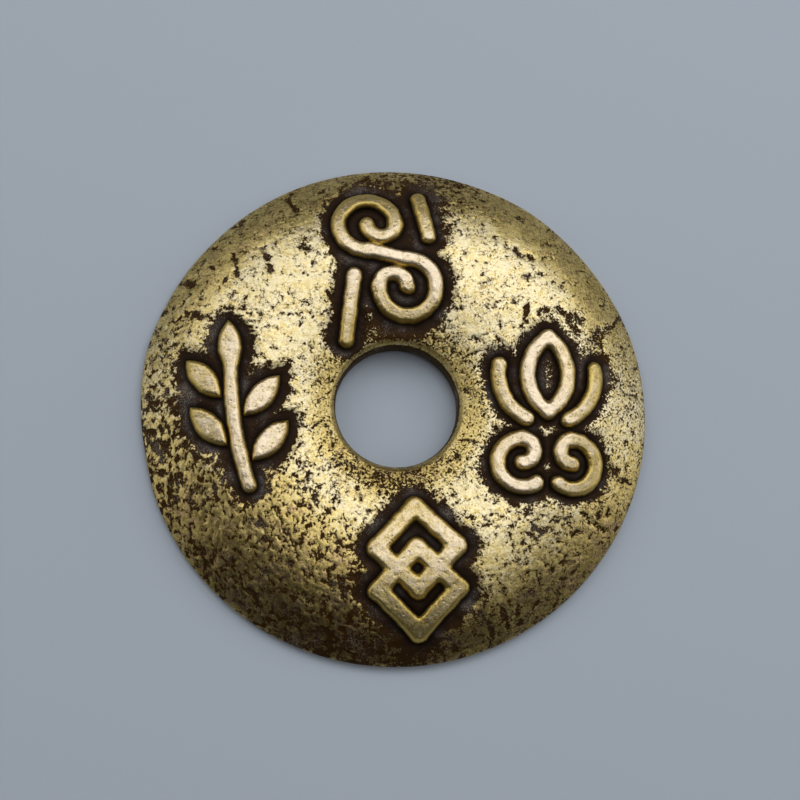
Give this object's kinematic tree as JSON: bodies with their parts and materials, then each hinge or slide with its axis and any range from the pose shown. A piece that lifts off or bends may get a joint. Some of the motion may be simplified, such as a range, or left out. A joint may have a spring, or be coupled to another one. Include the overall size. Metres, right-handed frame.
{
  "type": "holed charm disc",
  "caption": "Round domed brass disc with a round central hole, a flat back and cast ornaments raised from sunk grounds on its face.",
  "frame": {"origin": "centre of the hole, on the flat back", "axes": "+Z along the axis of the hole, out of the domed face; +Y towards the cloud scroll; +X towards the palmette"},
  "size_m": [0.055, 0.055, 0.0057],
  "materials": {
    "aged_brass": "cast, pitted and darkened with age, polished on its high places",
    "rubbed_brass": "cast relief, dull and rubbed pale on its flat tops, dark at its foot"
  },
  "bodies": {
    "root": {"token_body": "aged_brass", "cloud_scroll": "rubbed_brass", "cloud_tail_upper": "rubbed_brass", "cloud_tail_lower": "rubbed_brass", "palmette_bud": "rubbed_brass", "palmette_petal_left": "rubbed_brass", "palmette_petal_right": "rubbed_brass", "palmette_scroll_left": "rubbed_brass", "palmette_scroll_right": "rubbed_brass", "lozenge_knot": "rubbed_brass", "sprig_stem": "rubbed_brass", "sprig_leaf_low_right": "rubbed_brass", "sprig_leaf_low_left": "rubbed_brass", "sprig_leaf_high_right": "rubbed_brass", "sprig_leaf_high_left": "rubbed_brass"}
  },
  "joints": []
}
